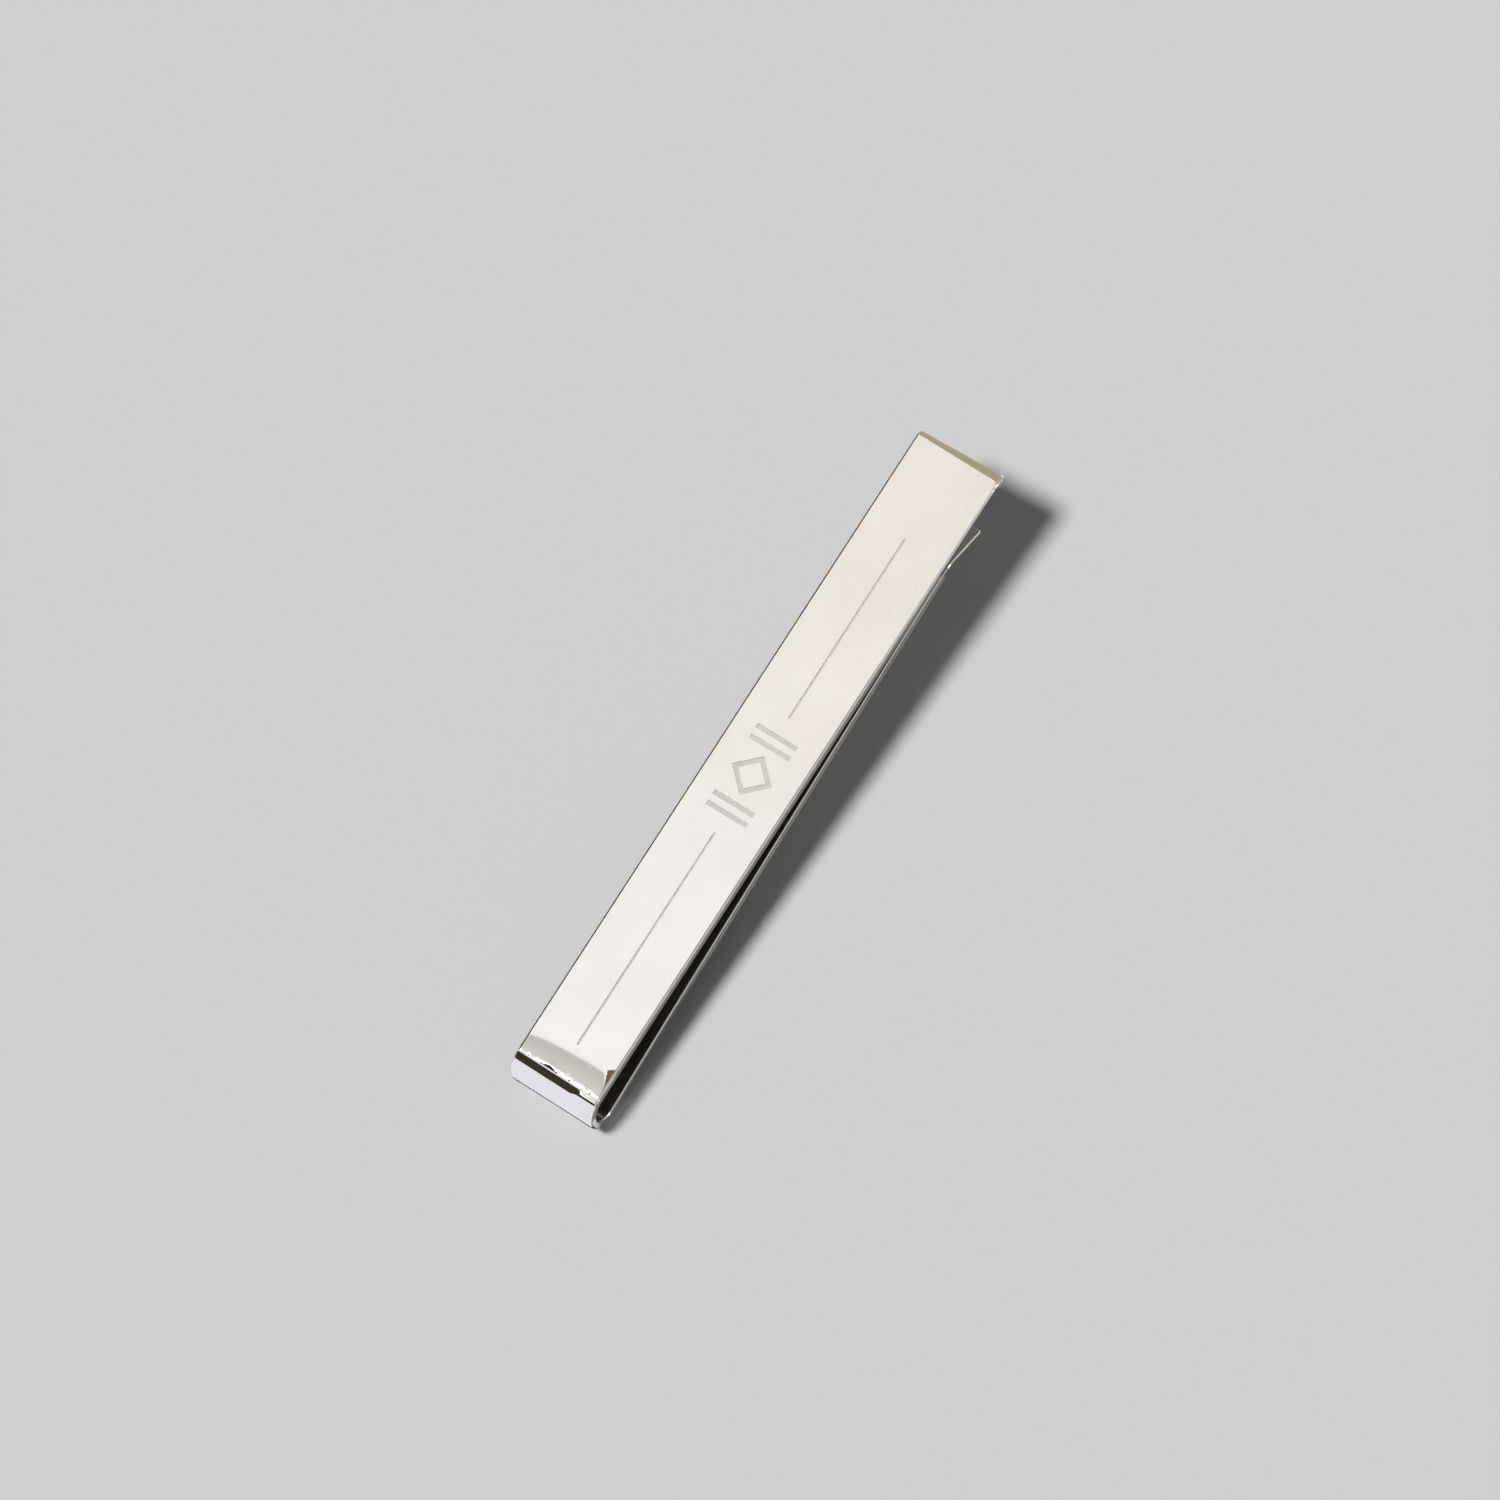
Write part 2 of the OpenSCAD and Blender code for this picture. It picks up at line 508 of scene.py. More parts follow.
rings = {"front_bar": np.concatenate([
    end_rings(field_start - end_clearance, end_spacing),
    even_rings(field_start, facet_start, flat_spacing)[:-1],
    even_rings(facet_start, field_end, facet_spacing),
    even_rings(field_end, bend_start, sag_spacing)[1:]])}
for name, spacing in whole_spacings.items():
    rings[name] = even_rings(starts[name], starts[name] + stretches[name][0], spacing)
rings["lead_in_lip"] = np.concatenate([
    even_rings(starts["lead_in_lip"], tip_start, lip_spacing)[:-1],
    strip_length - end_rings(tip_reach, tip_spacing)[::-1]])
print("rings:", {name: len(distances) for name, distances in rings.items()})

# %% [markdown]
# ## The engraved marks
# The laser cut each mark as a shallow floor with upright walls, 0.05 mm deep, and its edges are
# slightly ragged because the beam fires in pulses. An ornament of upright strokes and a lozenge
# stands between two fine lines. A boolean cut would leave thin, uneven triangles. Here the flat of
# the face is meshed afresh with every outline as a fixed edge, then the triangles inside the
# outlines are let down and joined to the rest by walls.

# %% Draw the outlines of the marks
engraving_depth = 0.05 * mm
line_width = 0.17 * mm
line_starts_x = bend_end_x + 4.5 * mm
line_ends_x = free_end_x - 7.5 * mm
ornament_x = -0.15 * mm
ornament_length = 6.9 * mm
ornament_height = 3.6 * mm
stroke_width = 0.38 * mm
ornament_gap = 1.4 * mm
upright_gap = 0.5 * mm
lozenge_gap = 0.55 * mm
outline_spacing = 0.09 * mm
raggedness = 0.008 * mm
most_ragged = 2 * raggedness
round_end_points = 6
chance = np.random.default_rng(5)


def rectangle(first_reach, second_reach):
    """The corners of a rectangle, counter-clockwise, from its reach along two axes."""
    (low, high), (near, far) = first_reach, second_reach
    return [(low, near), (high, near), (high, far), (low, far)]


def line_corners(from_x, to_x):
    """A thin stroke along the bar with rounded ends."""
    corners = []
    for end_x, reach in ((to_x, line_width / 2), (from_x, -line_width / 2)):
        for turn in np.linspace(-quarter, quarter, round_end_points):
            corners.append((end_x - reach + reach * math.cos(turn), reach * math.sin(turn)))
    return corners


def lozenge_corners(share):
    """The corners of the lozenge at a share of its size."""
    return [(ornament_x + x * share * lozenge_length / 2, y * share * ornament_height / 2)
            for x, y in ((1, 0), (0, 1), (-1, 0), (0, -1))]


def ragged(corners):
    """The outline as closely spaced points, each moved a little off its edge."""
    points = []
    for start, end in zip(corners, corners[1:] + corners[:1]):
        start, edge = np.array(start), np.subtract(end, start)
        length = np.linalg.norm(edge)
        sideways = np.array([edge[1], -edge[0]]) / length
        steps = max(1, round(length / outline_spacing))
        for step in range(steps):
            shift = chance.normal(0, raggedness) if steps > 1 else 0
            shift = float(np.clip(shift, -most_ragged, most_ragged))
            points.append(start + edge * step / steps + sideways * shift)
    return points


uprights_length = 2 * stroke_width + upright_gap
lozenge_length = ornament_length - 2 * (uprights_length + lozenge_gap)
side_distance = lozenge_length * ornament_height / 2 / math.hypot(lozenge_length, ornament_height)
inner_share = (side_distance - stroke_width) / side_distance
clear_of_ornament = ornament_length / 2 + ornament_gap
outlines = [
    ragged(line_corners(line_starts_x, ornament_x - clear_of_ornament)),
    ragged(line_corners(ornament_x + clear_of_ornament, line_ends_x)),
    ragged(lozenge_corners(1)),
    ragged(lozenge_corners(inner_share)),
]
upright_y = (-ornament_height / 2, ornament_height / 2)
for side in (-1, 1):
    for place in (0, 1):
        x = ornament_x + side * (
            ornament_length / 2 - stroke_width / 2 - place * (stroke_width + upright_gap))
        upright_x = (x - stroke_width / 2, x + stroke_width / 2)
        outlines.append(ragged(rectangle(upright_x, upright_y)))
print("outlines:", len(outlines), "with", sum(len(o) for o in outlines), "points")

# %% [markdown]
# ## Building a piece
# A piece is a stack of rings joined by quads, with a cap on each end so that it is a closed solid.
# Each point also keeps its place on the strip, in an attribute that the materials read. Scratches
# are laid out on that place, so they follow the strip round the bend and stay put in every pose.

# %% Put objects in the scene
def add_object(name, data):
    """An object for a mesh, a camera or a lamp."""
    made = bpy.data.objects.new(name, data)
    bpy.context.scene.collection.objects.link(made)
    return made


def mesh_object(name, points, faces):
    mesh = bpy.data.meshes.new(name)
    mesh.from_pydata([tuple(point) for point in points], [], faces)
    mesh.polygons.foreach_set("use_smooth", [True] * len(faces))
    return add_object(name, mesh)


# %% Collect points and faces
class Shell:
    """Points with normals and strip places, and faces with a material and a flat or soft look."""

    def __init__(self):
        self.points = []
        self.faces = []

    def add_points(self, points, normals, places):
        first = len(self.points)
        self.points.extend(zip(points, normals, places))
        return first

    def add_face(self, corners, material=0, is_flat=False):
        self.faces.append((corners, material, is_flat))

    def make_object(self, name):
        """A Blender object whose corner normals are the surface's own, and flat where asked."""
        points, normals, places = zip(*self.points)
        faces, materials, flat_faces = zip(*self.faces)
        made = mesh_object(name, points, faces)
        mesh = made.data
        mesh.polygons.foreach_set("material_index", materials)
        place = mesh.attributes.new("strip_place", "FLOAT_VECTOR", "POINT")
        place.data.foreach_set("vector", np.array(places, np.float32).ravel())
        corner_normals = []
        for polygon, is_flat in zip(mesh.polygons, flat_faces):
            for index in polygon.vertices:
                corner_normals.append(polygon.normal.copy() if is_flat else normals[index])
        mesh.validate()
        mesh.normals_split_custom_set(corner_normals)
        mesh.update()
        return made


# %% Join rings into a closed piece
def join_rings(shell, distances, field=None):
    """Adds rings, quads between them and two caps. A field is left open for the marked face."""
    along = distances[:, None]
    points, places = surface(along, around_columns[None, :])
    normals = surface_normals(np.broadcast_to(along, points.shape[:2]), around_columns[None, :])
    count = len(around_columns)
    first = shell.add_points(points.reshape(-1, 3), normals.reshape(-1, 3), places.reshape(-1, 3))

    def corner_of(ring, column):
        return first + ring * count + column % count

    for ring in range(len(distances) - 1):
        for column in range(count):
            in_rows = field and field[0] <= ring < field[1]
            if in_rows and first_field_column <= column < last_field_column:
                continue
            shell.add_face([corner_of(ring, column), corner_of(ring, column + 1),
                            corner_of(ring + 1, column + 1), corner_of(ring + 1, column)])
    last = len(distances) - 1
    shell.add_face([corner_of(0, column) for column in reversed(range(count))], is_flat=True)
    shell.add_face([corner_of(last, column) for column in range(count)], is_flat=True)
    return corner_of


# %% Mesh the marked face and let the marks down
polished, engraved = 0, 1
triangles_inside = 1
same_point = 1e-6


def add_marked_face(shell, rim):
    """Fills a rim of existing points with the flat face and its engraved marks."""
    flat_points = [Vector((x / mm, y / mm)) for x, y, _ in (shell.points[i][0] for i in rim)]
    outline_faces = [list(range(len(rim)))]
    top = list(rim)
    for outline in outlines:
        first = shell.add_points(
            [(x, y, face_z) for x, y in outline], [(0, 0, 1)] * len(outline),
            [(free_end_x - x, y, half_thickness) for x, y in outline])
        outline_faces.append([len(top) + i for i in range(len(outline))])
        top.extend(first + i for i in range(len(outline)))
        flat_points.extend(Vector((x / mm, y / mm)) for x, y in outline)
    _, _, triangles, source_points, _, source_faces = delaunay_2d_cdt(
        flat_points, [], outline_faces, triangles_inside, same_point)
    top = [top[sources[0]] for sources in source_points]
    lowered = {}

    def let_down(index):
        if index not in lowered:
            (x, y, z), _, (along, across, through) = shell.points[index]
            lowered[index] = shell.add_points(
                [(x, y, z - engraving_depth)], [(0, 0, 1)],
                [(along, across, through - engraving_depth)])
        return lowered[index]

    marked_edges, plain_edges = set(), set()
    for triangle, sources in zip(triangles, source_faces):
        corners = [top[i] for i in triangle]
        edges = list(zip(corners, corners[1:] + corners[:1]))
        if sum(1 for face in sources if face > 0) % 2:
            shell.add_face([let_down(i) for i in corners], engraved, is_flat=True)
            marked_edges.update(edges)
        else:
            shell.add_face(corners, polished)
            plain_edges.update(edges)
    walls = [(a, b) for a, b in marked_edges if (b, a) in plain_edges]
    for a, b in sorted(walls):
        shell.add_face([a, b, let_down(b), let_down(a)], engraved)
    print("marked face:", len(triangles), "triangles and", len(walls), "walls")


# %% Make the five pieces
pieces = {}
for name, distances in rings.items():
    shell = Shell()
    if name == "front_bar":
        field = [int(np.argmin(abs(distances - place))) for place in (field_start, field_end)]
        corner_of = join_rings(shell, distances, field)
        columns = range(first_field_column, last_field_column + 1)
        rows = range(field[0], field[1] + 1)
        rim = [corner_of(field[0], c) for c in columns]
        rim += [corner_of(r, columns[-1]) for r in rows[1:]]
        rim += [corner_of(field[1], c) for c in reversed(columns[:-1])]
        rim += [corner_of(r, columns[0]) for r in reversed(rows[1:-1])]
        add_marked_face(shell, rim)
    else:
        join_rings(shell, distances)
    pieces[name] = shell.make_object(name + "_polished")
    print(name, "has", len(pieces[name].data.polygons), "faces")

# %% [markdown]
# ## Tying the pieces to the frame
# Each piece stands for its CAD node, which is hidden. The bar's piece is parented to the front
# body, and the leaf, ridge and lip to the leaf body. The spring bend is tied to neither: only the
# heights between which it would turn about the hinge, in the middle of the bend, are worked out.

# %% Ride and replace
for name, piece in pieces.items():
    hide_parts(name)
for name in ("back_leaf", "grip_ridge", "lead_in_lip"):
    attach(pieces[name], "leaf")
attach(pieces["front_bar"], "front")
blend_margin = 0.02 * mm
upper_end = face_z - strip_thickness
lower_end = strip_thickness + blend_margin
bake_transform(pieces["spring_bend"])
tell("the bend turns between the heights", lower_end, upper_end)

# %% [markdown]
# ## Shared surface effects
# The finish is mirror polish that has been handled and wiped. Four effects make it: fine hairlines
# along the strip, the long low waves that a buffing wheel leaves, a thin film from fingers, and
# wear along the edges. The frosted marks share them. Each effect is a node group that reads the
# place on the strip in metres, so that its sizes are real sizes.

# %% Helpers for node trees
noise_middle = 0.5


def add_node(tree, kind, values=None, **settings):
    """A node with its settings, and its inputs filled or linked by name or number."""
    made = tree.nodes.new(kind)
    for key, value in settings.items():
        setattr(made, key, value)
    for key, value in (values or {}).items():
        if isinstance(value, bpy.types.NodeSocket):
            tree.links.new(value, made.inputs[key])
        else:
            made.inputs[key].default_value = value
    return made


def math_node(tree, operation, *values):
    """The result of a sum on one to three values or sockets."""
    return add_node(tree, "ShaderNodeMath", dict(enumerate(values)), operation=operation).outputs[0]


def ramp_node(tree, value, low, high, to_low=0.0, to_high=1.0):
    """A value spread softly from one range to another."""
    made = add_node(tree, "ShaderNodeMapRange", {
        "Value": value, "From Min": low, "From Max": high, "To Min": to_low, "To Max": to_high},
        interpolation_type="SMOOTHSTEP")
    return made.outputs["Result"]


def noise_node(tree, place, scale, detail, rough=0.5):
    """Cloudy noise from 0 to 1."""
    made = add_node(tree, "ShaderNodeTexNoise", {
        "Vector": place, "Scale": scale, "Detail": detail, "Roughness": rough})
    return made.outputs["Fac"]


def stretched_noise(tree, place, length, width, detail, rough):
    """Noise whose clouds have one size along the strip and another across it."""
    size = add_node(tree, "ShaderNodeCombineXYZ", {"X": length, "Y": width, "Z": width})
    stretched = add_node(
        tree, "ShaderNodeVectorMath", {0: place, 1: size.outputs[0]}, operation="DIVIDE")
    return noise_node(tree, stretched.outputs[0], 1.0, detail, rough)


def patch_mask(tree, noise, cover, bare_level, per_cover, softness):
    """The patches where noise lies above a level, which sinks as the cover grows."""
    level = math_node(tree, "SUBTRACT", bare_level, math_node(tree, "MULTIPLY", cover, per_cover))
    return ramp_node(tree, math_node(tree, "SUBTRACT", noise, level), -softness, softness)


def new_group(name, inputs, output):
    """A group that reads a place and named numbers: its tree, its inputs and its output socket."""
    tree = bpy.data.node_groups.new(name, "ShaderNodeTree")
    sockets = tree.interface
    sockets.new_socket("Place", in_out="INPUT", socket_type="NodeSocketVector")
    for key, default in inputs.items():
        made = sockets.new_socket(key, in_out="INPUT", socket_type="NodeSocketFloat")
        made.default_value = default
    sockets.new_socket(output, in_out="OUTPUT", socket_type="NodeSocketFloat")
    given = tree.nodes.new("NodeGroupInput").outputs
    return tree, given, tree.nodes.new("NodeGroupOutput").inputs[output]


def place_group(tree, group, place, values=None):
    """Puts a group into a material, with values that differ from its own, and gives its result."""
    values = {"Place": place, **(values or {})}
    return add_node(tree, "ShaderNodeGroup", values, node_tree=group).outputs[0]


# %% Hairlines from wiping
def build_hairlines():
    """Thin lines where stretched noise crosses its middle, kept only in patches."""
    tree, given, result = new_group("hairlines", {
        "Length": 5 * mm, "Spacing": 0.11 * mm, "Slant": 0.06, "Line Share": 0.03,
        "Patch Size": 7 * mm, "Cover": 0.5}, "Lines")
    turned = add_node(tree, "ShaderNodeVectorRotate", {
        "Vector": given["Place"], "Angle": given["Slant"]}, rotation_type="Z_AXIS")
    cloud = stretched_noise(
        tree, turned.outputs[0], given["Length"], given["Spacing"], detail=2.0, rough=0.6)
    off_middle = math_node(tree, "ABSOLUTE", math_node(tree, "SUBTRACT", cloud, noise_middle))
    lines = ramp_node(tree, off_middle, 0.0, given["Line Share"], to_low=1.0, to_high=0.0)
    patch_scale = math_node(tree, "DIVIDE", 1.0, given["Patch Size"])
    patches = noise_node(tree, given["Place"], patch_scale, detail=3.0)
    kept = patch_mask(
        tree, patches, given["Cover"], bare_level=0.8, per_cover=0.6, softness=0.12)
    tree.links.new(math_node(tree, "MULTIPLY", lines, kept), result)
    return tree


hairlines = build_hairlines()

# %% Waves from the buffing wheel
def build_buffing_waves():
    """A height from 0 to 1, in waves that are longer along the strip than across it."""
    tree, given, result = new_group(
        "buffing_waves", {"Length": 6 * mm, "Width": 2.4 * mm}, "Height")
    height = stretched_noise(
        tree, given["Place"], given["Length"], given["Width"], detail=1.0, rough=0.4)
    tree.links.new(height, result)
    return tree


buffing_waves = build_buffing_waves()

# %% Film from fingers
grains_per_patch = 28.0


def build_finger_film():
    """Cloudy patches broken up by a finer grain."""
    tree, given, result = new_group("finger_film", {"Size": 8 * mm, "Cover": 0.45}, "Film")
    scale = math_node(tree, "DIVIDE", 1.0, given["Size"])
    clouds = noise_node(tree, given["Place"], scale, detail=4.0, rough=0.55)
    patches = patch_mask(
        tree, clouds, given["Cover"], bare_level=0.75, per_cover=0.5, softness=0.16)
    grain_scale = math_node(tree, "MULTIPLY", scale, grains_per_patch)
    grain = noise_node(tree, given["Place"], grain_scale, detail=2.0)
    broken = ramp_node(tree, grain, low=0.25, high=0.7, to_low=0.45)
    tree.links.new(math_node(tree, "MULTIPLY", patches, broken), result)
    return tree


finger_film = build_finger_film()

# %% Wear along the edges
wear_break_size = 0.5 * mm


def build_edge_wear():
    """A mask that rises towards the long edges and the strip's two ends, with a broken border."""
    tree, given, result = new_group("edge_wear", {"Reach": 0.28 * mm}, "Wear")
    axes = add_node(tree, "ShaderNodeSeparateXYZ", {0: given["Place"]}).outputs
    from_side = math_node(tree, "SUBTRACT", half_width, math_node(tree, "ABSOLUTE", axes["Y"]))
    from_far_end = math_node(tree, "SUBTRACT", strip_length, axes["X"])
    from_end = math_node(tree, "MINIMUM", axes["X"], from_far_end)
    nearest = math_node(tree, "MINIMUM", from_side, from_end)
    breaks = noise_node(tree, given["Place"], 1 / wear_break_size, detail=3.0)
    off_middle = math_node(tree, "SUBTRACT", breaks, noise_middle)
    shifted = math_node(tree, "MULTIPLY_ADD", off_middle, given["Reach"], nearest)
    wear = ramp_node(tree, shifted, 0.0, given["Reach"], to_low=1.0, to_high=0.0)
    tree.links.new(wear, result)
    return tree


edge_wear = build_edge_wear()
print("node groups:", sorted(group.name for group in bpy.data.node_groups))

# %% [markdown]
# ## Mirror polish
# The base colour is the light grey of polished stainless steel, which tints whatever it mirrors.
# The roughness isn't even: film dulls it in soft patches, hairlines in thin strokes, and the worn
# edges more. The inside of the fold, which no buffing wheel reaches, is satin up to the ridge, and
# its colour there is darker, partly for the unbuffed steel and partly as painted shade in the
# enclosed fold. The lip was buffed on both sides. Two bumps tilt the surface a little: the long
# waves, and the hairlines on top of them.

# %% Helpers for materials
def new_material(name, kind="ShaderNodeBsdfPrincipled"):
    """An empty material with an output and one shader."""
    material = bpy.data.materials.new(name)
    material.use_nodes = True
    tree = material.node_tree
    tree.nodes.clear()
    shader = tree.nodes.new(kind)
    add_node(tree, "ShaderNodeOutputMaterial", {"Surface": shader.outputs[0]})
    print("material:", name)
    return material, tree, shader


def mix_colours(tree, share, first, second):
    mixed = add_node(
        tree, "ShaderNodeMix", {"Factor": share, 6: first, 7: second}, data_type="RGBA")
    return mixed.outputs[2]


def strip_place(tree):
    """The place on the strip that the mesh carries."""
    return add_node(tree, "ShaderNodeAttribute", attribute_type="GEOMETRY",
                    attribute_name="strip_place").outputs["Vector"]


def add_up(tree, base, masks, shares):
    """A base value plus a share of each mask that is named."""
    total = base
    for name, share in shares.items():
        total = math_node(tree, "MULTIPLY_ADD", masks[name], share, total)
    return total


def bump_node(tree, height, distance, under=None):
    """A bump whose height is in metres, on top of another if there is one."""
    values = {"Strength": 1.0, "Distance": distance, "Height": height}
    if under:
        values["Normal"] = under
    return add_node(tree, "ShaderNodeBump", values).outputs["Normal"]


def make_metal(tree, shader, colour, roughness, normal):
    """Links what the effects have made of the surface to a metal's shader."""
    shader.inputs["Metallic"].default_value = 1.0
    for name, made in (("Base Color", colour), ("Roughness", roughness), ("Normal", normal)):
        tree.links.new(made, shader.inputs[name])


# %% Make the polished metal
steel_colour = (0.86, 0.85, 0.835, 1)
filmed_colour = (0.815, 0.80, 0.777, 1)
worn_colour = (0.885, 0.878, 0.866, 1)
# Inside the fold the colour is partly unbuffed steel and partly painted shade for the enclosed fold.
inside_satin_and_shade_colour = (0.44, 0.41, 0.38, 1)
mirror_roughness = 0.035
dulled_by = {"film": 0.045, "fine": 0.05, "stray": 0.10, "wear": 0.035, "inside": 0.20}
raised_by = {"fine": -1.0, "stray": -1.6, "wear": -0.5}
hairline_depth = 0.8e-4 * mm
buffing_depth = 1.5e-3 * mm


def inside_mask(tree, place):
    """The inner side of the strip, up to the lip."""
    axes = add_node(tree, "ShaderNodeSeparateXYZ", {0: place}).outputs
    inner = ramp_node(tree, axes["Z"], edge_radius / 4 - half_thickness, -half_thickness)
    before_lip = ramp_node(tree, axes["X"], starts["grip_ridge"], strip_length - lip_length / 2,
                           to_low=1.0, to_high=0.0)
    return math_node(tree, "MULTIPLY", inner, before_lip)


def build_polish():
    material, tree, shader = new_material("mirror_polish")
    place = strip_place(tree)
    masks = {
        "film": place_group(tree, finger_film, place),
        "fine": place_group(tree, hairlines, place),
        "stray": place_group(tree, hairlines, place, {
            "Length": 2.2 * mm, "Spacing": 0.5 * mm, "Slant": -0.5, "Line Share": 0.012,
            "Patch Size": 4 * mm, "Cover": 0.35}),
        "wear": place_group(tree, edge_wear, place),
        "inside": inside_mask(tree, place),
    }
    filmed = mix_colours(tree, masks["film"], steel_colour, filmed_colour)
    worn = mix_colours(tree, masks["wear"], filmed, worn_colour)
    # Inside the fold the colour turns to painted shade as well as unbuffed steel.
    colour = mix_colours(tree, masks["inside"], worn, inside_satin_and_shade_colour)
    waved = bump_node(tree, place_group(tree, buffing_waves, place), buffing_depth)
    scratched = bump_node(tree, add_up(tree, 0.0, masks, raised_by), hairline_depth, waved)
    roughness = add_up(tree, mirror_roughness, masks, dulled_by)
    make_metal(tree, shader, colour, roughness, scratched)
    return material


mirror_polish = build_polish()

# %% [markdown]
# ## Frosted marks
# The laser melts a fine hatch into the floor of each mark, so the floor scatters light and looks
# a soft grey beside the mirror. The colour hardly changes. What makes it grey is the roughness:
# it blurs the bright card with the darker ones round it. The hatch and a fine grain vary it.

# %% Make the frosted floor of the marks
floor_colour = (0.90, 0.89, 0.875, 1)
burnt_colour = (0.78, 0.768, 0.752, 1)
hatch_pitch = 0.05 * mm
hatch_slant = 0.785
grain_size = 0.03 * mm
frosted_roughness = 0.22
frost_depth = 1.2e-3 * mm


def build_frost():
    material, tree, shader = new_material("frosted_engraving")
    place = strip_place(tree)
    masks = {
        "film": place_group(tree, finger_film, place, {"Size": 3 * mm, "Cover": 0.5}),
        "hatch": place_group(tree, hairlines, place, {
            "Length": 1.2 * mm, "Spacing": hatch_pitch, "Slant": hatch_slant,
            "Line Share": 0.12, "Patch Size": 1 * mm, "Cover": 1.0}),
        "grain": noise_node(tree, place, 1 / grain_size, detail=3.0),
    }
    darker = add_up(tree, 0.0, masks, {"grain": 1.0, "hatch": 0.25})
    colour = mix_colours(
        tree, ramp_node(tree, darker, low=0.3, high=0.85), floor_colour, burnt_colour)
    roughness = add_up(tree, frosted_roughness, masks, {"grain": 0.12, "film": -0.04})
    height = add_up(tree, 0.0, masks, {"grain": 1.0, "hatch": 0.6})
    make_metal(tree, shader, colour, roughness, bump_node(tree, height, frost_depth))
    return material


frosted_engraving = build_frost()
for name, piece in pieces.items():
    piece.data.materials.append(mirror_polish)
    if name == "front_bar":
        piece.data.materials.append(frosted_engraving)

# %% [markdown]
# ## The camera
# The photograph looks down on the face from beyond its -Y edge, from about 60 cm away, with the
# clip lying steeply across the picture. The camera's place comes from the point of the face in the
# middle of the picture, two angles round it, and a roll.

# %% Set up the camera
looked_at = Vector((1.328 * mm, 1.198 * mm, face_z))
camera_azimuth = math.radians(-9.0)
camera_elevation = math.radians(67.5)
camera_roll = math.radians(-48.7)
camera_distance = 0.6
camera_turn = (Matrix.Rotation(camera_azimuth, 4, "Z")
               @ Matrix.Rotation(quarter - camera_elevation, 4, "X")
               @ Matrix.Rotation(camera_roll, 4, "Z"))
camera_place = looked_at + camera_turn @ Vector((0, 0, camera_distance))
camera = add_object("camera", bpy.data.cameras.new("camera"))
camera.matrix_world = Matrix.Translation(camera_place) @ camera_turn
camera.data.lens = 202
camera.data.sensor_width = 36
camera.data.clip_start = 0.01
camera.data.clip_end = 10
bpy.context.scene.camera = camera
tell("camera at", *camera_place)

# %% [markdown]
# ## The floor
# The clip lies with its bend on a sheet of pale card. The sheet falls away gently under the leaf,
# so that the shadow comes loose from the clip towards its free end, and so that the leaf has room
# to swing open. Beyond both ends of the clip the sheet turns level again in long, soft curves.

# %% Lay the floor
floor_fall = math.radians(4.8)
floor_slope = math.tan(floor_fall)
floor_curve_radius = 0.4
floor_curve_points = 16
slope_before_bend = 2 * mm
slope_end_x = 45 * mm
floor_half_size = 3.0


def level_out(x, z, sense, angles):
    """A curve that leaves the slope at x and z and turns level, towards +X for a sense of 1."""
    return [(x + sense * floor_curve_radius * (math.sin(floor_fall) - math.sin(angle)),
             z + sense * floor_curve_radius * (math.cos(floor_fall) - math.cos(angle)))
            for angle in angles]


def floor_profile():
    """Places x and z of the sheet in the side view, which touches the bend from below."""
    touch_x = bend_centre[0] - outer_radius * math.sin(floor_fall)
    touch_z = bend_centre[1] - outer_radius * math.cos(floor_fall)
    angles = np.linspace(0, floor_fall, floor_curve_points)
    crest = level_out(
        touch_x - slope_before_bend, touch_z + slope_before_bend * floor_slope, -1, angles)
    foot_z = touch_z - (slope_end_x - touch_x) * floor_slope
    foot = level_out(slope_end_x, foot_z, 1, angles[::-1])
    return [(-floor_half_size, crest[0][1])] + crest + foot + [(floor_half_size, foot[-1][1])]


profile = floor_profile()
rows = len(profile)
floor = mesh_object(
    "floor", [(x, side * floor_half_size, z) for side in (-1, 1) for x, z in profile],
    [(i, i + 1, rows + i + 1, rows + i) for i in range(rows - 1)])
floor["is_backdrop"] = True

# %% Make the floor's card
pale_tone = (0.62, 0.62, 0.62, 1)
fibre_tone = (0.5952, 0.5952, 0.5952, 1)
fibre_size = 0.6 * mm
floor_material, floor_tree, floor_shader = new_material("pale_card")
floor_place = add_node(floor_tree, "ShaderNodeTexCoord").outputs["Object"]
fibres = noise_node(floor_tree, floor_place, 1 / fibre_size, detail=4.0, rough=0.6)
floor_tree.links.new(
    mix_colours(floor_tree, fibres, fibre_tone, pale_tone), floor_shader.inputs["Base Color"])
floor_shader.inputs["Roughness"].default_value = 0.9
floor_shader.inputs["Specular IOR Level"].default_value = 0.0
floor.data.materials.append(floor_material)

# %% [markdown]
# ## Cards to mirror
# The flat face shows whatever lies where the camera's line of sight bounces to, and each tilt of
# the surface near the bend shows another part of a ceiling over the clip. So the ceiling cards are
# cut by tilt: a big white one for the flat face, warmer towards the free end, a grey one for the
# sagging end of the bar, a thin bright one, and a black one that gives the bend its dark band.
# Brown, beige and dull grey ones colour the worn near edge. Upright cards stand beyond both ends
# of the clip and on its far side, and low ones on the floor serve the strip's sides and lip. Three
# of the low ones are dark sheets for painted shadow: a contact shadow under the bend, and shadow
# beside the lip and past the free end, which the metal mirrors. Only reflections see the cards:
# the camera, the shadows and the floor do not.

# %% Find what a tilted spot of the face shows
ceiling_z = 0.46
fold_x = -25.4 * mm


